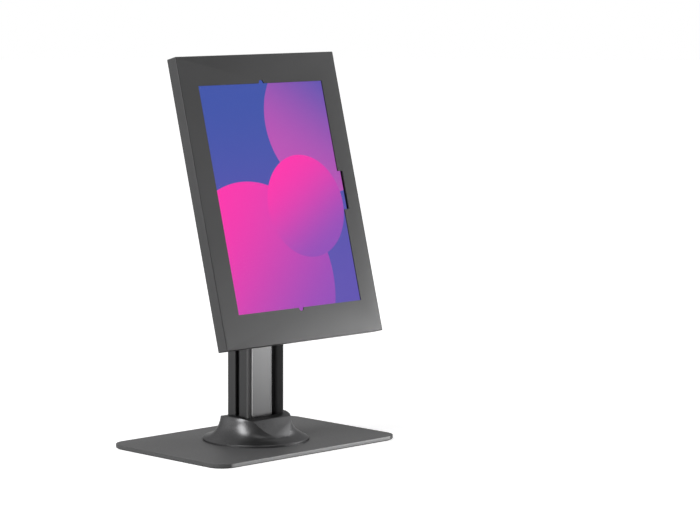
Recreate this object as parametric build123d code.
from build123d import *
import math
import os

# Counter-top display stand for a tablet, in millimetres.
# +Z is up, the front faces -Y, and the origin is the middle of the base pad's underside.
# The case is drawn in its own frame, then tilted: X right, Y rearwards from the front face, Z up the case.

# Base
BASE_W = 296.0
BASE_D = 198.0
BASE_CORNER_R = 22.0
PLATE_T = 4.5
PLATE_EDGE_R = 0.6
PAD_T = 1.0
PAD_INSET = 2.0
PAD_HOLE_ROOM = 1.0

# Column extrusion
COL_W = 60.0
COL_D = 35.0
COL_LENGTH = 259.5
COL_CORNER_R = 1.5
RIDGE_W = 7.3
RIDGE_DROP = 1.4
CHANNEL_DEPTH = 8.5
TSLOT_OPEN = 7.0
TSLOT_LIP = 2.0
TSLOT_INNER = 11.0
TSLOT_DEPTH = 6.0
COL_BORE_W = 22.0
COL_BORE_D = 13.0
COL_BORE_R = 2.0
PORT_D = 4.4
PORT_PITCH_X = 34.0
PORT_PITCH_Y = 9.6
STRIP_W = 33.4
STRIP_T = 2.0
STRIP_EDGE_R = 1.2
STRIP_TOP_GAP = 2.0

# Collar
COLLAR_RIM_R = 64.0
COLLAR_LIP = 2.2
COLLAR_LIP_EDGE = 0.8
COLLAR_H = 31.5
COLLAR_TOP_R = 40.8
COLLAR_NECK_R = 44.3
COLLAR_NECK_Z = 18.5
FLARE_HIGH_Z = 14.5
FLARE_HIGH_SIDE_R = 47.4
FLARE_HIGH_FRONT_R = 44.9
FLARE_MID_Z = 10.0
FLARE_MID_SIDE_R = 53.0
FLARE_MID_FRONT_R = 46.2
FLARE_LOW_Z = 5.9
FLARE_LOW_SIDE_R = 58.8
FLARE_LOW_FRONT_R = 52.2
COLLAR_TOP_ROUND = 2.2
COLLAR_WALL = 3.0
SHELF_ANGLE = 10.0
KNEE_OUT = 10.3
KNEE_Z = 28.4
KNEE_ROUND = 4.0
SLOPE_ANGLE = 47.0
TIP_R = 46.8
TIP_Z = 8.0
TIP_FALL = 10.0
COLLAR_FIT = 0.3
COLLAR_BOSS_R = 5.0
COLLAR_BOSS_X = 47.0
COLLAR_HOLE_SPARE = 1.0

# Head bracket on the column
HEAD_T = 3.0
PIVOT_RISE = 20.0
PIVOT_FORWARD = 16.5
CHEEK_PIVOT_R = 9.3
CHEEK_LOCK_R = 8.0
PIVOT_D = 8.0
LOCK_BOLT_D = 6.0
LOCK_ARM = 27.0
LOCK_ANGLE = 100.0

# Tilt yoke
EAR_SPAN = 83.0
EAR_T = 3.0
EAR_R = 35.0
YOKE_T = 3.0
PIVOT_BEHIND_CASE = 14.0
TILT_REST = 14.7
TILT_MIN = 0.0
TILT_MAX = 75.0
SLOT_SPARE_ANGLE = 3.0

# Hub between the yoke and the case
HUB_RISE = 8.0
HUB_BORE_R = 15.4
HUB_HOLE_R = 24.0
HUB_SCREW_R = 19.7
HUB_SCREW_D = 3.0
HUB_SCREW_COUNT = 3
RETAINER_R = 27.4
RETAINER_T = 1.8
FRICTION_T = 0.8
STOP_PIN_D = 4.0
STOP_R = 31.0
TURN_RANGE = 90.0

# Tablet that the case is made for
TABLET_W = 214.9
TABLET_H = 280.6
TABLET_T = 6.4
TABLET_R = 18.0
TABLET_EDGE_R = 1.5
TABLET_START = 2.1
GLASS_T = 0.8
SCREEN_T = 0.9
SCREEN_MARGIN = 0.7

# Case
CASE_ROOM_X = 20.55
CASE_ROOM_Z = 31.95
CASE_T = 17.0
SHEET = 1.5
COVER_FLANGE = 15.0
COVER_BEND_R = 1.2
BOX_SHEET = 1.2
BOX_PANEL = 1.5
BOX_CORNER_R = 6.0
COVER_GAP_SIDE = 0.4
COVER_GAP_END = 0.6
WINDOW_LAP_X = 7.15
WINDOW_LAP_Z = 5.5
WINDOW_RISE = 2.0
WINDOW_NOTCH_R = 4.0
SIDE_NOTCH_DEPTH = 7.7
SIDE_NOTCH_H = 47.2
SIDE_NOTCH_Z = 1.8
SIDE_NOTCH_R = 1.5

# Holes in the rear panel
MOUNT_PITCH = 75.0
MOUNT_HOLE_D = 5.0
KEY_WIDE_D = 12.6
KEY_NARROW_D = 7.8
KEY_LENGTH = 18.0
KEY_RISE = 46.5
KEY_SIDE_X = 45.0
SLOT_LENGTH = 22.0
SLOT_WIDTH = 8.0
SIDE_SLOT_X = 56.6
LOW_SLOT_DROP = 58.5
CAMERA_W = 35.0
CAMERA_H = 36.0
CAMERA_IN = 23.95
CAMERA_DROP = 20.3
CAMERA_R = 5.0
VENT_X = 75.5
VENT_DROP = 19.25
VENT_SLOT_L = 11.0
VENT_SLOT_W = 3.0
VENT_PITCH_X = 15.5
VENT_PITCH_Z = 5.8
CABLE_SLOT_W = 7.5
CABLE_SLOT_H = 15.5
CABLE_SLOT_EDGE = 1.6
CABLE_SLOT_R = 1.0
RELIEF_D = 2.6
RELIEF_SPAN = 17.4
PIN_HOLE_D = 2.5
PIN_HOLE_X = 85.0
PIN_HOLE_DROP = 25.0

# Inside the case
GASKET_T = 0.5
GASKET_MARGIN = 1.2
GASKET_W = 5.0
RAIL_LAP = 21.05
RAIL_W = 25.0
RAIL_END_GAP = 2.3
RAIL_SHEET = 1.2
RAIL_NOTCH_DEPTH = 4.0
RAIL_NOTCH_H = 39.0
BAR_END_GAP = 9.1
BAR_H = 16.0
BAR_IN = 49.3
BAR_EDGE_R = 1.0
FOAM_FIT = 0.2
FOAM_FRONT = 3.2
BLOCK_W = 20.0
BLOCK_H = 40.0
BLOCK_Z = 80.0
FOOT_H = 12.0
FOOT_PITCH = 80.0
FOOT_COUNT = 4

# Key lock
KEYLOCK_DROP = 17.75
KEYLOCK_BODY_R = 5.9
KEYLOCK_FLANGE_R = 6.8
KEYLOCK_FLANGE_T = 1.3
KEYLOCK_EDGE_R = 0.5
KEYLOCK_LENGTH = 9.0
KEYLOCK_PLUG_R = 4.2
KEYLOCK_NUT_R = 8.5
KEYLOCK_NUT_T = 2.5
CAM_T = 1.5
CAM_W = 9.0
CAM_REACH = 11.8
CAM_SCREW_D = 3.0
CAM_SCREW_HEAD_D = 6.0
CAM_SCREW_HEAD_T = 1.2
KEYWAY_L = 5.2
KEYWAY_W = 1.0
KEYWAY_DEPTH = 3.3
CATCH_T = 1.2
CATCH_W = 14.0
CATCH_FOOT = 6.5
CATCH_GAP = 0.6

# Cover tabs at the bottom edge
TAB_W = 12.0
TAB_RISE = 6.0
TAB_X = 80.0
TAB_SLOT_W = 15.0
TAB_SLOT_RUN = 8.0

# Clearances
RUN_GAP = 0.05
FACE_GAP = 0.1
HOLE_FIT = 0.15
SLOT_ROOM = 0.6
CUT_OVER = 1.0

# Screws
COLUMN_SCREW_L = 24.0
COLUMN_SCREW_HEAD_D = 8.4
HEAD_SCREW_HEAD_D = 8.2
HEAD_SCREW_HEAD_T = 3.0
HEAD_SCREW_L = 18.0
COLLAR_SCREW_D = 4.0
COLLAR_SCREW_HEAD_D = 7.6
COLLAR_SCREW_L = 11.0
HUB_SCREW_HEAD_D = 5.4
HUB_SCREW_HEAD_T = 2.0
WASHER_T = 1.5
PIVOT_WASHER_D = 17.0
LOCK_WASHER_D = 13.0
PIVOT_HEX = 13.0
PIVOT_HEAD_T = 5.3
LOCK_HEX = 10.0
LOCK_HEAD_T = 4.0
NUT_T = 6.5
LOCK_NUT_T = 5.0
SPACER_D = 16.0
LOCK_SPACER_D = 11.0
BOLT_TAIL = 1.5

# Derived places
PLATE_Z = PAD_T
COLUMN_Z = PAD_T + PLATE_T
COLUMN_TOP = COLUMN_Z + COL_LENGTH
PIVOT_Y = -PIVOT_FORWARD
PIVOT_Z = COLUMN_TOP + PIVOT_RISE
PANEL_INNER = CASE_T - BOX_PANEL
TABLET_BACK = TABLET_START + TABLET_T
CHEEK_OUT = COL_W / 2
CHEEK_IN = CHEEK_OUT - HEAD_T
EAR_OUT = EAR_SPAN / 2
EAR_IN = EAR_OUT - EAR_T
CASE_W = TABLET_W + 2 * CASE_ROOM_X
CASE_H = TABLET_H + 2 * CASE_ROOM_Z
COVER_IN_W = CASE_W - 2 * SHEET
COVER_IN_H = CASE_H - 2 * SHEET
BOX_W = COVER_IN_W - 2 * COVER_GAP_SIDE
BOX_H = COVER_IN_H - 2 * COVER_GAP_END
BOX_FRONT = SHEET + COVER_GAP_SIDE
SIDES = (-1, 1)
CORNERS = [(sx, sy) for sx in SIDES for sy in SIDES]
TABLET_RISE = WINDOW_RISE
WINDOW_W = TABLET_W - 2 * WINDOW_LAP_X
WINDOW_H = TABLET_H - 2 * WINDOW_LAP_Z
RAIL_INNER_X = TABLET_W / 2 - RAIL_LAP
RAIL_H = TABLET_H - 2 * RAIL_END_GAP
BAR_W = 2 * (RAIL_INNER_X - BAR_END_GAP)
BAR_Z = TABLET_H / 2 - BAR_IN
CAMERA_X = TABLET_W / 2 - CAMERA_IN
CAMERA_Z = TABLET_RISE + TABLET_H / 2 - CAMERA_DROP
VENT_Z = CASE_H / 2 - VENT_DROP
KEYLOCK_Z = CASE_H / 2 - KEYLOCK_DROP
TILTED = Pos(0, PIVOT_Y, PIVOT_Z) * Rot(-TILT_REST, 0, 0)
CASE_PLACE = TILTED * Pos(0, -PIVOT_BEHIND_CASE - CASE_T, HUB_RISE)


def prism_x(sketch, x0, x1):
    """Extrude a sketch drawn in Y and Z from x0 to x1."""
    return Pos(x0, 0, 0) * extrude(Plane.YZ * sketch, x1 - x0)


def prism_y(sketch, y0, y1):
    """Extrude a sketch drawn in X and Z from y0 to y1."""
    return Pos(0, y1, 0) * extrude(Plane.XZ * sketch, y1 - y0)


def prism_z(sketch, z0, z1):
    """Extrude a sketch drawn in X and Y from z0 to z1."""
    return Pos(0, 0, z0) * extrude(sketch, z1 - z0)


def rod_x(radius, x0, x1, y=0.0, z=0.0):
    return Pos(0, y, z) * prism_x(Circle(radius), x0, x1)


def rod_y(radius, y0, y1, x=0.0, z=0.0):
    return Pos(x, 0, z) * prism_y(Circle(radius), y0, y1)


def rod_z(radius, z0, z1, x=0.0, y=0.0):
    return Pos(x, y, 0) * prism_z(Circle(radius), z0, z1)


def tube_x(outer, inner, x0, x1, y=0.0, z=0.0):
    return Pos(0, y, z) * prism_x(Circle(outer) - Circle(inner), x0, x1)


def tube_y(outer, inner, y0, y1, x=0.0, z=0.0):
    return Pos(x, 0, z) * prism_y(Circle(outer) - Circle(inner), y0, y1)


def hexagon(across_flats):
    return RegularPolygon(across_flats / 2, 6, major_radius=False)


def box_between(x0, x1, y0, y1, z0, z1):
    size = Box(x1 - x0, y1 - y0, z1 - z0)
    return Pos((x0 + x1) / 2, (y0 + y1) / 2, (z0 + z1) / 2) * size


def save(name, *solids):
    """Write one node, as one solid or as a group of like ones."""
    shape = solids[0] if len(solids) == 1 else Compound(children=list(solids))
    shape.label = name
    export_step(shape, f"parts/{name}.step")


# Base, pad and collar


def port_points():
    return [(sx * PORT_PITCH_X / 2, sy * PORT_PITCH_Y / 2) for sx, sy in CORNERS]


def boss_points():
    return [(side * COLLAR_BOSS_X, 0) for side in SIDES]


def base_pad():
    outline = RectangleRounded(BASE_W - 2 * PAD_INSET, BASE_D - 2 * PAD_INSET, BASE_CORNER_R - PAD_INSET)
    holes = [Pos(x, y) * Circle(COLUMN_SCREW_HEAD_D / 2 + PAD_HOLE_ROOM) for x, y in port_points()]
    holes += [Pos(x, y) * Circle(COLLAR_SCREW_HEAD_D / 2 + PAD_HOLE_ROOM) for x, y in boss_points()]
    for hole in holes:
        outline -= hole
    return prism_z(outline, 0, PAD_T)


def countersunk(head_d, shank_d, length, x, y):
    """A flat-headed screw that points up, its head flush with the plate's underside."""
    head_h = (head_d - shank_d) / 2
    head = Pos(x, y, PLATE_Z + head_h / 2) * Cone(head_d / 2, shank_d / 2, head_h)
    return head + rod_z(shank_d / 2, PLATE_Z + head_h, PLATE_Z + length, x, y)


def base_plate():
    plate = prism_z(RectangleRounded(BASE_W, BASE_D, BASE_CORNER_R), PLATE_Z, PLATE_Z + PLATE_T)
    rim = plate.edges().group_by(Axis.Z)[-1] + plate.edges().group_by(Axis.Z)[0]
    plate = fillet(rim, PLATE_EDGE_R)
    room = 2 * HOLE_FIT
    for x, y in port_points():
        plate -= countersunk(COLUMN_SCREW_HEAD_D + room, PORT_D + room, 2 * PLATE_T, x, y)
    for x, y in boss_points():
        plate -= countersunk(COLLAR_SCREW_HEAD_D + room, COLLAR_SCREW_D + room, 2 * PLATE_T, x, y)
    return plate


def column_screws():
    shank = PORT_D - 2 * RUN_GAP
    return [countersunk(COLUMN_SCREW_HEAD_D, shank, COLUMN_SCREW_L, x, y) for x, y in port_points()]


def collar_screws():
    shank = COLLAR_SCREW_D - 2 * RUN_GAP
    return [countersunk(COLLAR_SCREW_HEAD_D, shank, COLLAR_SCREW_L, x, y) for x, y in boss_points()]


def flare_stations():
    """Height, side radius and front radius of the bell, from the rim up to its flat top."""
    rim_r = COLLAR_RIM_R - COLLAR_LIP_EDGE
    half_z = (COLLAR_NECK_Z + COLLAR_H) / 2
    half_r = (COLLAR_NECK_R + COLLAR_TOP_R) / 2
    return [
        (COLLAR_LIP + COLLAR_LIP_EDGE, rim_r, rim_r),
        (FLARE_LOW_Z, FLARE_LOW_SIDE_R, FLARE_LOW_FRONT_R),
        (FLARE_MID_Z, FLARE_MID_SIDE_R, FLARE_MID_FRONT_R),
        (FLARE_HIGH_Z, FLARE_HIGH_SIDE_R, FLARE_HIGH_FRONT_R),
        (COLLAR_NECK_Z, COLLAR_NECK_R, COLLAR_NECK_R),
        (half_z, half_r, half_r),
        (COLLAR_H, COLLAR_TOP_R, COLLAR_TOP_R),
    ]


def bell(stations):
    """A loft through the stations: round at both ends, drawn in at the front and rear between them."""
    rings = []
    for z, side_r, front_r in stations:
        ring = Circle(side_r) if side_r == front_r else Ellipse(side_r, front_r)
        rings.append(Pos(0, 0, COLUMN_Z + z) * ring)
    return loft(rings)


def slope_cut(side, drop):
    """The space over one slope: a shelf that falls a little, a rounded knee and the long slope."""
    reach = COLLAR_RIM_R
    shelf = math.radians(SHELF_ANGLE)
    slope = math.radians(SLOPE_ANGLE)
    knee_y = COL_D / 2 + KNEE_OUT
    knee_z = COLUMN_Z + KNEE_Z - drop
    start = (knee_y - reach * math.cos(shelf) / 2, knee_z + reach * math.sin(shelf) / 2)
    end = (knee_y + reach * math.cos(slope), knee_z - reach * math.sin(slope))
    top_z = knee_z + reach
    outline = Polyline(start, (knee_y, knee_z), end, (end[0], top_z), (start[0], top_z), close=True)
    face = make_face(outline)
    face = fillet(face.vertices().sort_by_distance((knee_y, knee_z, 0))[0], KNEE_ROUND)
    cut = prism_x(face, -reach, reach)
    return cut if side > 0 else mirror(cut, Plane.XZ)


def tip_cone():
    """The shallow cone that each slope runs out on, so that the rim stays whole."""
    spread = TIP_Z / math.tan(math.radians(TIP_FALL))
    return Pos(0, 0, COLUMN_Z + TIP_Z / 2) * Cone(TIP_R + spread, TIP_R, TIP_Z)


def collar_skin():
    """The outer form: a lipped rim, the lofted bell and a slope at the front and rear."""
    rim_r = COLLAR_RIM_R
    flare_r = rim_r - COLLAR_LIP_EDGE
    lip_top = COLLAR_LIP + COLLAR_LIP_EDGE
    section = Polyline((0, 0), (rim_r, 0), (rim_r, COLLAR_LIP), (flare_r, lip_top), (0, lip_top), close=True)
    skin = bell(flare_stations()) + Pos(0, 0, COLUMN_Z) * revolve(Plane.XZ * make_face(section), Axis.Z)
    skin = fillet(skin.edges().group_by(Axis.Z)[-1], COLLAR_TOP_ROUND)
    for side in SIDES:
        skin -= slope_cut(side, 0) - tip_cone()
    return skin


def collar_room():
    """The hollow under the skin, about one wall smaller all round."""
    stations = [(z - COLLAR_WALL, a - COLLAR_WALL, b - COLLAR_WALL) for z, a, b in flare_stations()[1:]]
    low_a, low_b = stations[0][1:]
    room = bell([(0, low_a + COLLAR_WALL, low_b + COLLAR_WALL)] + stations)
    drop = COLLAR_WALL / math.cos(math.radians(SLOPE_ANGLE))
    for side in SIDES:
        room -= slope_cut(side, drop)
    return room


def collar():
    sleeve_w = COL_W + 2 * COLLAR_FIT
    sleeve_d = COL_D + 2 * COLLAR_FIT
    sleeve_r = COL_CORNER_R + COLLAR_FIT
    top = COLUMN_Z + COLLAR_H
    room = collar_room()
    room -= prism_z(Rectangle(sleeve_w + 2 * COLLAR_WALL, sleeve_d + 2 * COLLAR_WALL), 0, top)
    for x, y in boss_points():
        room -= rod_z(COLLAR_BOSS_R, 0, top, x, y)
    body = collar_skin() - room
    body -= prism_z(RectangleRounded(sleeve_w, sleeve_d, sleeve_r), 0, 2 * top)
    hole_top = PLATE_Z + COLLAR_SCREW_L + COLLAR_HOLE_SPARE
    for x, y in boss_points():
        body -= rod_z(COLLAR_SCREW_D / 2, COLUMN_Z, hole_top, x, y)
    return body.solids().sort_by(SortBy.VOLUME)[-1]


# Column


def ridge_cut(sx, sy):
    """The slanting front of one corner ridge, which drops towards the channel."""
    edge_x = COL_W / 2 - COL_CORNER_R
    inner_x = COL_W / 2 - RIDGE_W
    face_y = COL_D / 2
    low_y = face_y - RIDGE_DROP
    over_x = inner_x - CUT_OVER
    points = [(edge_x, face_y), (over_x, face_y), (over_x, low_y), (inner_x, low_y)]
    return make_face(Polyline(*[(sx * x, sy * y) for x, y in points], close=True))


def column_section():
    outline = RectangleRounded(COL_W, COL_D, COL_CORNER_R)
    channel_w = COL_W - 2 * RIDGE_W
    channel_y = COL_D / 2 - CHANNEL_DEPTH / 2
    for sx, sy in CORNERS:
        outline -= ridge_cut(sx, sy)
    for side in SIDES:
        outline -= Pos(0, side * channel_y) * Rectangle(channel_w, CHANNEL_DEPTH)
        outline -= Pos(side * COL_W / 2, 0) * Rectangle(2 * TSLOT_LIP, TSLOT_OPEN)
        inner_x = COL_W / 2 - (TSLOT_LIP + TSLOT_DEPTH) / 2
        outline -= Pos(side * inner_x, 0) * Rectangle(TSLOT_DEPTH - TSLOT_LIP, TSLOT_INNER)
    outline -= RectangleRounded(COL_BORE_W, COL_BORE_D, COL_BORE_R)
    for x, y in port_points():
        outline -= Pos(x, y) * Circle(PORT_D / 2)
    return outline


def column_extrusion():
    return prism_z(column_section(), COLUMN_Z, COLUMN_TOP)


def cover_strip(side):
    """A flat strip on the channel's floor, its two long front edges rounded."""
    floor_y = COL_D / 2 - CHANNEL_DEPTH
    strip = prism_z(Rectangle(STRIP_W, STRIP_T), COLUMN_Z, COLUMN_TOP - STRIP_TOP_GAP)
    long_edges = strip.edges().filter_by(Axis.Z).group_by(Axis.Y)
    strip = fillet(long_edges[0] if side < 0 else long_edges[-1], STRIP_EDGE_R)
    return Pos(0, side * (floor_y + STRIP_T / 2), 0) * strip


# Head bracket and tilt bolts


def lock_bolt_place():
    angle = math.radians(LOCK_ANGLE)
    return PIVOT_Y + LOCK_ARM * math.sin(angle), PIVOT_Z + LOCK_ARM * math.cos(angle)


def cheek_outline():
    """Side view of a cheek: the smallest outline round its foot and its two bolt eyes."""
    lock_y, lock_z = lock_bolt_place()
    foot = Pos(0, COLUMN_TOP + HEAD_T / 2) * Rectangle(COL_D, HEAD_T)
    pivot_eye = Pos(PIVOT_Y, PIVOT_Z) * Circle(CHEEK_PIVOT_R)
    lock_eye = Pos(lock_y, lock_z) * Circle(CHEEK_LOCK_R)
    return make_hull(foot.edges() + pivot_eye.edges() + lock_eye.edges())


def head_bracket():
    lock_y, lock_z = lock_bolt_place()
    body = box_between(-CHEEK_OUT, CHEEK_OUT, -COL_D / 2, COL_D / 2, COLUMN_TOP, COLUMN_TOP + HEAD_T)
    for side in SIDES:
        x0, x1 = sorted((side * CHEEK_IN, side * CHEEK_OUT))
        body += prism_x(cheek_outline(), x0, x1)
    body -= rod_x(PIVOT_D / 2 + HOLE_FIT, -COL_W, COL_W, PIVOT_Y, PIVOT_Z)
    body -= rod_x(LOCK_BOLT_D / 2 + HOLE_FIT, -COL_W, COL_W, lock_y, lock_z)
    body -= prism_z(RectangleRounded(COL_BORE_W, COL_BORE_D, COL_BORE_R), COLUMN_TOP, COLUMN_TOP + HEAD_T)
    for x, y in port_points():
        body -= rod_z(PORT_D / 2 + HOLE_FIT, COLUMN_TOP, COLUMN_TOP + HEAD_T, x, y)
    return body


def head_screws():
    """Pan-headed screws that hold the bracket down in the column's ports."""
    screws = []
    seat = COLUMN_TOP + HEAD_T
    for x, y in port_points():
        head = rod_z(HEAD_SCREW_HEAD_D / 2, seat, seat + HEAD_SCREW_HEAD_T, x, y)
        head = fillet(head.edges().group_by(Axis.Z)[-1], HEAD_SCREW_HEAD_T / 2)
        screws.append(head + rod_z(PORT_D / 2 - RUN_GAP, seat - HEAD_SCREW_L, seat, x, y))
    return screws


def cross_bolt(diameter, hex_af, head_t, nut_t, y, z):
    """A bolt across both ears, its hexagon head at +X."""
    seat = EAR_OUT + FACE_GAP + WASHER_T
    shank = rod_x(diameter / 2, -seat - nut_t - BOLT_TAIL, seat, y, z)
    return shank + Pos(0, y, z) * prism_x(hexagon(hex_af), seat, seat + head_t)


def cross_nut(diameter, hex_af, nut_t, y, z):
    seat = EAR_OUT + FACE_GAP + WASHER_T
    ring = hexagon(hex_af) - Circle(diameter / 2 + RUN_GAP)
    return Pos(0, y, z) * prism_x(ring, -seat - nut_t, -seat)


def cross_rings(outer_d, bore_d, x0, x1, y, z):
    """The same ring on both sides of the bracket."""
    spans = [sorted((side * x0, side * x1)) for side in SIDES]
    return [tube_x(outer_d / 2, bore_d / 2 + RUN_GAP, low, high, y, z) for low, high in spans]


# Tilt yoke and hub, drawn round the pivot axis


def yoke_front():
    return -PIVOT_BEHIND_CASE + FACE_GAP / 2 + FRICTION_T


def ear_slot():
    """The arc slot that the lock bolt runs in, with room at both ends of the tilt range."""
    start = LOCK_ANGLE - TILT_MAX - SLOT_SPARE_ANGLE
    stop = LOCK_ANGLE - TILT_MIN + SLOT_SPARE_ANGLE
    arc = CenterArc((0, 0), LOCK_ARM, 90 - stop, stop - start)
    return SlotArc(arc, LOCK_BOLT_D + SLOT_ROOM)


def tilt_yoke():
    front = yoke_front()
    half_h = math.sqrt(EAR_R ** 2 - front ** 2)
    body = prism_y(Rectangle(EAR_SPAN, 2 * half_h), front, front + YOKE_T)
    ear = Circle(EAR_R) & Pos(front + EAR_R, 0) * Rectangle(2 * EAR_R, 2 * EAR_R)
    ear -= ear_slot()
    ear -= Circle(PIVOT_D / 2 + RUN_GAP)
    for side in SIDES:
        x0, x1 = sorted((side * EAR_IN, side * EAR_OUT))
        body += prism_x(ear, x0, x1)
    body -= rod_y(HUB_BORE_R, front, front + YOKE_T, 0, HUB_RISE)
    body -= rod_y(STOP_PIN_D / 2 + RUN_GAP, front, front + YOKE_T, STOP_R, HUB_RISE)
    for x, z in hub_screw_points():
        body -= rod_y(HUB_SCREW_D / 2 + RUN_GAP, front, front + YOKE_T, x, z)
    return body


def hub_screw_points():
    step = 360 / HUB_SCREW_COUNT
    angles = [math.radians(index * step) for index in range(HUB_SCREW_COUNT)]
    return [(HUB_SCREW_R * math.cos(a), HUB_RISE + HUB_SCREW_R * math.sin(a)) for a in angles]


def hub_stack():
    """Places along Y of the ring stack inside the rear panel."""
    panel_inner = -PIVOT_BEHIND_CASE - BOX_PANEL
    washer_back = panel_inner - FACE_GAP / 2
    washer_front = washer_back - FRICTION_T
    return washer_back, washer_front, washer_front - RETAINER_T


def hub_ring(outer, y0, y1):
    ring = tube_y(outer, HUB_BORE_R, y0, y1, 0, HUB_RISE)
    for x, z in hub_screw_points():
        ring -= rod_y(HUB_SCREW_D / 2 + RUN_GAP, y0, y1, x, z)
    return ring


def friction_washer(y0, y1):
    return tube_y(RETAINER_R, HUB_HOLE_R + FACE_GAP, y0, y1, 0, HUB_RISE)


def hub_screws():
    seat = hub_stack()[2]
    end = yoke_front() + YOKE_T
    screws = []
    for x, z in hub_screw_points():
        head = rod_y(HUB_SCREW_HEAD_D / 2, seat - HUB_SCREW_HEAD_T, seat, x, z)
        screws.append(head + rod_y(HUB_SCREW_D / 2, seat, end, x, z))
    return screws


def stop_pin():
    tip = hub_stack()[1]
    return rod_y(STOP_PIN_D / 2, tip, yoke_front() + YOKE_T, STOP_R, HUB_RISE)


# Rear box of the case


def keyhole(narrow_turn):
    """A round hole with a narrow slot, the slot pointing up before it is turned."""
    run = KEY_LENGTH - KEY_WIDE_D / 2 - KEY_NARROW_D / 2
    neck = Pos(0, run / 2) * Rectangle(KEY_NARROW_D, run)
    return Rot(0, 0, narrow_turn) * (Circle(KEY_WIDE_D / 2) + neck + Pos(0, run) * Circle(KEY_NARROW_D / 2))


def vent_group():
    slots = Sketch()
    for column in SIDES + (0,):
        for row in SIDES + (0,):
            slots += Pos(column * VENT_PITCH_X, row * VENT_PITCH_Z) * SlotOverall(VENT_SLOT_L, VENT_SLOT_W)
    return slots


def stop_slot():
    """The arc that the stop pin follows as the case turns, seen from the front."""
    arc = CenterArc((0, 0), STOP_R, 0, TURN_RANGE)
    return SlotArc(arc, STOP_PIN_D + SLOT_ROOM)


def panel_holes():
    holes = Circle(HUB_HOLE_R)
    holes += stop_slot()
    for sx, sz in CORNERS:
        holes += Pos(sx * MOUNT_PITCH / 2, sz * MOUNT_PITCH / 2) * Circle(MOUNT_HOLE_D / 2)
        holes += Pos(sx * VENT_X, sz * VENT_Z) * vent_group()
    holes += Pos(0, KEY_RISE + KEY_WIDE_D / 2) * keyhole(0)
    holes += Pos(KEY_SIDE_X + KEY_WIDE_D / 2, 0) * keyhole(-90)
    holes += Pos(-SIDE_SLOT_X, 0) * Rot(0, 0, 90) * SlotOverall(SLOT_LENGTH, SLOT_WIDTH)
    holes += Pos(0, -LOW_SLOT_DROP) * SlotOverall(SLOT_LENGTH, SLOT_WIDTH)
    holes += Pos(CAMERA_X, CAMERA_Z) * RectangleRounded(CAMERA_W, CAMERA_H, CAMERA_R)
    holes += Pos(PIN_HOLE_X, -PIN_HOLE_DROP) * Circle(PIN_HOLE_D / 2)
    holes += Pos(0, KEYLOCK_Z) * Circle(KEYLOCK_BODY_R + RUN_GAP)
    cable_x = -BOX_W / 2 + CABLE_SLOT_EDGE + CABLE_SLOT_W / 2
    holes += Pos(cable_x, 0) * RectangleRounded(CABLE_SLOT_W, CABLE_SLOT_H, CABLE_SLOT_R)
    return holes


def rear_box():
    outline = RectangleRounded(BOX_W, BOX_H, BOX_CORNER_R)
    room = RectangleRounded(BOX_W - 2 * BOX_SHEET, BOX_H - 2 * BOX_SHEET, BOX_CORNER_R - BOX_SHEET)
    shell = prism_y(outline, BOX_FRONT, CASE_T)
    shell = fillet(shell.edges().group_by(Axis.Y)[-1], BOX_SHEET)
    shell -= prism_y(room, BOX_FRONT, PANEL_INNER)
    shell -= prism_y(panel_holes(), PANEL_INNER, CASE_T)
    for side in SIDES:
        relief = rod_x(RELIEF_D / 2, -BOX_W / 2, -BOX_W / 2 + 2 * BOX_SHEET, CASE_T, side * RELIEF_SPAN / 2)
        shell -= relief
        x0 = side * TAB_X - TAB_SLOT_W / 2
        slot_start = PANEL_INNER - TAB_SLOT_RUN
        shell -= box_between(x0, x0 + TAB_SLOT_W, slot_start, PANEL_INNER, -BOX_H / 2, -BOX_H / 2 + BOX_SHEET)
    return shell


def side_rail(side):
    """A channel of bent sheet under the tablet's edge, welded to the rear panel by its feet."""
    web_y = TABLET_BACK + FOAM_FIT
    foot_y = PANEL_INNER - RAIL_SHEET
    x0 = side * (RAIL_INNER_X + RAIL_W / 2) - RAIL_W / 2
    x1 = x0 + RAIL_W
    half_h = RAIL_H / 2
    rail = box_between(x0, x1, web_y, PANEL_INNER, -half_h, half_h)
    hollow = box_between(x0 + RAIL_SHEET, x1 - RAIL_SHEET, web_y + RAIL_SHEET, PANEL_INNER, -half_h, half_h)
    if side > 0:
        notch_x = x0 + RAIL_NOTCH_DEPTH
        notch_h = RAIL_NOTCH_H / 2
        wall_h = notch_h + RAIL_SHEET
        rail -= box_between(x0, notch_x, web_y, PANEL_INNER, -notch_h, notch_h)
        hollow -= box_between(x0, notch_x + RAIL_SHEET, web_y, PANEL_INNER, -wall_h, wall_h)
    rail -= hollow
    for index in range(FOOT_COUNT):
        z0 = (index - (FOOT_COUNT - 1) / 2) * FOOT_PITCH - FOOT_H / 2
        rail += box_between(x0, x1, foot_y, PANEL_INNER, z0, z0 + FOOT_H)
    return rail


def cushion_bar(side):
    z0 = side * BAR_Z - BAR_H / 2
    bar = box_between(-BAR_W / 2, BAR_W / 2, TABLET_BACK + FOAM_FIT, PANEL_INNER, z0, z0 + BAR_H)
    return fillet(bar.edges().group_by(Axis.Y)[0], BAR_EDGE_R)


def end_cushions():
    """Foam blocks between the tablet's ends and the box's end walls."""
    z1 = BOX_H / 2 - BOX_SHEET - FOAM_FIT
    x1 = BOX_W / 2 - BOX_SHEET - BOX_CORNER_R
    x0 = x1 - BLOCK_W
    blocks = []
    for sx, sz in CORNERS:
        low_x, high_x = sorted((sx * x0, sx * x1))
        low_z, high_z = sorted((TABLET_RISE + sz * (TABLET_H / 2 + FOAM_FIT), sz * z1))
        blocks.append(box_between(low_x, high_x, FOAM_FRONT, PANEL_INNER, low_z, high_z))
    return blocks


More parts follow.
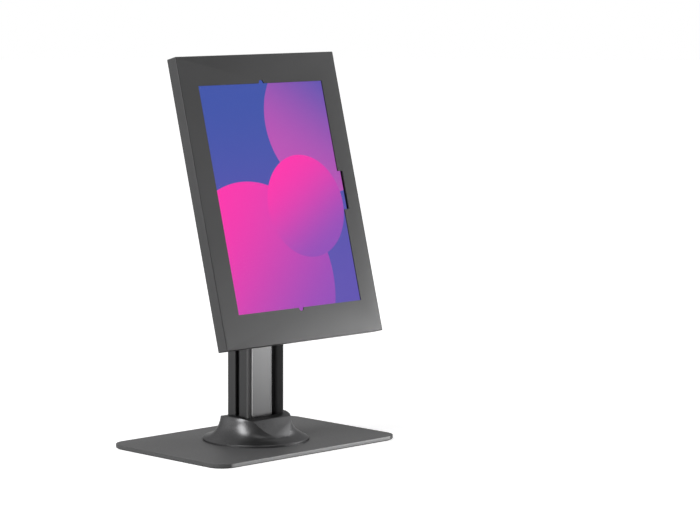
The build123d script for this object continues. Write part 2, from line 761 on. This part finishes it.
def side_cushions():
    """Foam blocks between the tablet's long sides and the box's side walls."""
    x0 = TABLET_W / 2 + FOAM_FIT
    x1 = BOX_W / 2 - BOX_SHEET - FOAM_FIT
    blocks = []
    for sx, sz in CORNERS:
        low_x, high_x = sorted((sx * x0, sx * x1))
        z = sz * BLOCK_Z
        blocks.append(box_between(low_x, high_x, FOAM_FRONT, TABLET_BACK, z - BLOCK_H / 2, z + BLOCK_H / 2))
    return blocks


# Tablet


def tablet_glass():
    glass = prism_y(RectangleRounded(TABLET_W, TABLET_H, TABLET_R), TABLET_START, TABLET_START + GLASS_T)
    return Pos(0, 0, TABLET_RISE) * glass


def tablet_screen():
    front = TABLET_START + GLASS_T
    width = TABLET_W - 2 * SCREEN_MARGIN
    height = TABLET_H - 2 * SCREEN_MARGIN
    screen = prism_y(RectangleRounded(width, height, TABLET_R - SCREEN_MARGIN), front, front + SCREEN_T)
    return Pos(0, 0, TABLET_RISE) * screen


def tablet_body():
    front = TABLET_START + GLASS_T
    body = prism_y(RectangleRounded(TABLET_W, TABLET_H, TABLET_R), front, TABLET_BACK)
    body = fillet(body.edges().group_by(Axis.Y)[-1], TABLET_EDGE_R)
    return Pos(0, 0, TABLET_RISE) * body - tablet_screen()


# Front cover


def window_sketch():
    window = Rectangle(WINDOW_W, WINDOW_H)
    for side in SIDES:
        window += Pos(0, side * WINDOW_H / 2) * Circle(WINDOW_NOTCH_R)
    notch = RectangleRounded(2 * SIDE_NOTCH_DEPTH, SIDE_NOTCH_H, SIDE_NOTCH_R)
    window += Pos(WINDOW_W / 2, SIDE_NOTCH_Z - WINDOW_RISE) * notch
    return Pos(0, WINDOW_RISE) * window


def front_cover():
    shell = prism_y(Rectangle(CASE_W, CASE_H), 0, COVER_FLANGE)
    bends = shell.edges().group_by(Axis.Y)[0] + shell.edges().filter_by(Axis.Y)
    shell = fillet(bends, COVER_BEND_R)
    shell -= prism_y(Rectangle(COVER_IN_W, COVER_IN_H), SHEET, COVER_FLANGE)
    shell -= prism_y(window_sketch(), 0, SHEET)
    root_z = -COVER_IN_H / 2
    for side in SIDES:
        x0 = side * TAB_X - TAB_W / 2
        tab_y = COVER_FLANGE - SHEET
        shell += box_between(x0, x0 + TAB_W, tab_y, COVER_FLANGE, root_z - SHEET, root_z + TAB_RISE)
    return shell


def window_gasket():
    """Foam strip on the cover's inner face round the window, cut where the window has its notches."""
    reach = 2 * (GASKET_MARGIN + GASKET_W)
    strip = Pos(0, WINDOW_RISE) * Rectangle(WINDOW_W + reach, WINDOW_H + reach)
    strip -= offset(window_sketch(), GASKET_MARGIN, kind=Kind.INTERSECTION)
    return prism_y(strip, SHEET, SHEET + GASKET_T)


# Key lock


def keylock_front():
    return CASE_T - KEYLOCK_LENGTH


def cam_back():
    return keylock_front() - FACE_GAP


def lock_body():
    body = rod_y(KEYLOCK_BODY_R, keylock_front(), CASE_T, 0, KEYLOCK_Z)
    flange = rod_y(KEYLOCK_FLANGE_R, CASE_T, CASE_T + KEYLOCK_FLANGE_T, 0, KEYLOCK_Z)
    flange = fillet(flange.edges().group_by(Axis.Y)[-1], KEYLOCK_EDGE_R)
    bore = rod_y(KEYLOCK_PLUG_R + RUN_GAP, keylock_front(), CASE_T + KEYLOCK_FLANGE_T, 0, KEYLOCK_Z)
    return body + flange - bore


def lock_nut():
    ring = Pos(0, KEYLOCK_Z) * (hexagon(2 * KEYLOCK_NUT_R) - Circle(KEYLOCK_BODY_R + RUN_GAP))
    return prism_y(ring, PANEL_INNER - KEYLOCK_NUT_T, PANEL_INNER)


def lock_plug():
    plug = rod_y(KEYLOCK_PLUG_R, cam_back(), CASE_T + KEYLOCK_FLANGE_T, 0, KEYLOCK_Z)
    half_l = KEYWAY_L / 2
    half_w = KEYWAY_W / 2
    face = CASE_T + KEYLOCK_FLANGE_T
    keyway = box_between(-half_l, half_l, face - KEYWAY_DEPTH, face, KEYLOCK_Z - half_w, KEYLOCK_Z + half_w)
    return plug - keyway


def lock_cam():
    """The cam plate, at rest turned sideways so that the cover is free."""
    nose = CAM_REACH - CAM_W / 2
    outline = Circle(CAM_W / 2) + Pos(nose / 2, 0) * Rectangle(nose, CAM_W) + Pos(nose, 0) * Circle(CAM_W / 2)
    outline -= Circle(CAM_SCREW_D / 2 + RUN_GAP)
    return prism_y(Pos(0, KEYLOCK_Z) * outline, cam_back() - CAM_T, cam_back())


def cam_screw():
    face = cam_back() - CAM_T
    head = rod_y(CAM_SCREW_HEAD_D / 2, face - CAM_SCREW_HEAD_T, face, 0, KEYLOCK_Z)
    return head + rod_y(CAM_SCREW_D / 2, face, cam_back(), 0, KEYLOCK_Z)


def cover_catch():
    """Angle bracket on the cover: its foot lies behind the cam when the lock is turned."""
    foot_front = cam_back() + CATCH_GAP
    foot_back = foot_front + CATCH_T
    leg_low = KEYLOCK_Z + CAM_REACH + CATCH_GAP
    leg = box_between(-CATCH_W / 2, CATCH_W / 2, SHEET, foot_back, leg_low, leg_low + CATCH_T)
    foot_top = leg_low + CATCH_T
    foot_low = foot_top - CATCH_FOOT
    return leg + box_between(-CATCH_W / 2, CATCH_W / 2, foot_front, foot_back, foot_low, foot_top)


def main():
    os.makedirs("parts", exist_ok=True)
    save("base_pad", base_pad())
    save("base_plate", base_plate())
    save("column_screws", *column_screws())
    save("collar", collar())
    save("collar_screws", *collar_screws())
    save("column_extrusion", column_extrusion())
    save("front_cover_strip", cover_strip(-1))
    save("rear_cover_strip", cover_strip(1))
    save("head_bracket", head_bracket())
    save("head_screws", *head_screws())

    lock_y, lock_z = lock_bolt_place()
    seat = EAR_OUT + FACE_GAP
    spacer_end = EAR_IN - FACE_GAP
    save("pivot_bolt", cross_bolt(PIVOT_D, PIVOT_HEX, PIVOT_HEAD_T, NUT_T, PIVOT_Y, PIVOT_Z))
    save("pivot_nut", cross_nut(PIVOT_D, PIVOT_HEX, NUT_T, PIVOT_Y, PIVOT_Z))
    save("pivot_washers", *cross_rings(PIVOT_WASHER_D, PIVOT_D, seat, seat + WASHER_T, PIVOT_Y, PIVOT_Z))
    save("pivot_spacers", *cross_rings(SPACER_D, PIVOT_D, CHEEK_OUT, spacer_end, PIVOT_Y, PIVOT_Z))
    save("lock_bolt", cross_bolt(LOCK_BOLT_D, LOCK_HEX, LOCK_HEAD_T, LOCK_NUT_T, lock_y, lock_z))
    save("lock_bolt_nut", cross_nut(LOCK_BOLT_D, LOCK_HEX, LOCK_NUT_T, lock_y, lock_z))
    save("lock_bolt_washers", *cross_rings(LOCK_WASHER_D, LOCK_BOLT_D, seat, seat + WASHER_T, lock_y, lock_z))
    save("lock_bolt_spacers", *cross_rings(LOCK_SPACER_D, LOCK_BOLT_D, CHEEK_OUT, spacer_end, lock_y, lock_z))

    washer_back, washer_front, retainer_front = hub_stack()
    save("tilt_yoke", TILTED * tilt_yoke())
    save("hub_spigot", TILTED * hub_ring(HUB_HOLE_R - RUN_GAP, washer_front, yoke_front()))
    save("hub_retainer", TILTED * hub_ring(RETAINER_R, retainer_front, washer_front))
    save("hub_screws", *[TILTED * screw for screw in hub_screws()])
    save("outer_friction_washer", TILTED * friction_washer(yoke_front() - FRICTION_T, yoke_front()))
    save("inner_friction_washer", TILTED * friction_washer(washer_front, washer_back))
    save("stop_pin", TILTED * stop_pin())

    save("rear_box", CASE_PLACE * rear_box())
    save("side_rail_left", CASE_PLACE * side_rail(-1))
    save("side_rail_right", CASE_PLACE * side_rail(1))
    save("cushion_bar_upper", CASE_PLACE * cushion_bar(1))
    save("cushion_bar_lower", CASE_PLACE * cushion_bar(-1))
    save("end_cushions", *[CASE_PLACE * block for block in end_cushions()])
    save("side_cushions", *[CASE_PLACE * block for block in side_cushions()])
    save("tablet_body", CASE_PLACE * tablet_body())
    save("tablet_screen", CASE_PLACE * tablet_screen())
    save("tablet_glass", CASE_PLACE * tablet_glass())
    save("lock_body", CASE_PLACE * lock_body())
    save("lock_nut", CASE_PLACE * lock_nut())

    save("front_cover", CASE_PLACE * front_cover())
    save("window_gasket", CASE_PLACE * window_gasket())
    save("cover_catch", CASE_PLACE * cover_catch())
    save("lock_plug", CASE_PLACE * lock_plug())
    save("lock_cam", CASE_PLACE * lock_cam())
    save("cam_screw", CASE_PLACE * cam_screw())


main()
